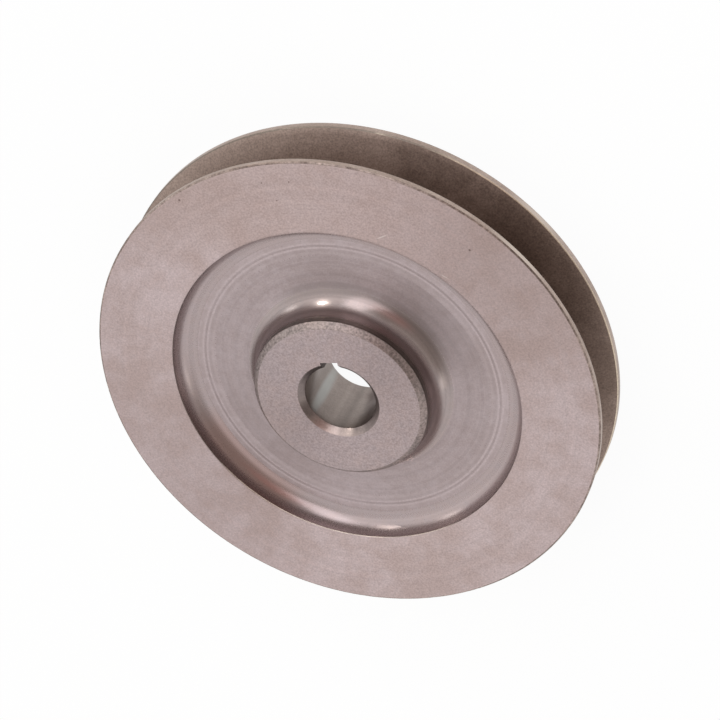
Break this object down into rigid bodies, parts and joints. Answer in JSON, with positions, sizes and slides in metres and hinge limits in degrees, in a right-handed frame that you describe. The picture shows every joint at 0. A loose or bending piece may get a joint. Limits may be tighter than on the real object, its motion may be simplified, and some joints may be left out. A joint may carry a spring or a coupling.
{
  "type": "v-belt drive pulley",
  "caption": "Single-groove V-belt drive pulley turned from one piece of steel, with a dished front face, a raised hub and a keyed bore.",
  "frame": {"origin": "on the bore axis, in the plane of the rear rim face that the pulley lies on", "axes": "+Z along the bore axis, from the rear rim face towards the hub nose; +Y from the axis towards the keyway"},
  "size_m": [0.136, 0.136, 0.0248],
  "materials": {
    "turned_steel": "Bare turned steel, warm grey with a brown oxide bloom; matte on the rim faces and the groove, satin with turning lines in the dish and on the hub."
  },
  "bodies": {
    "root": {"drive_pulley": "turned_steel"}
  },
  "joints": []
}
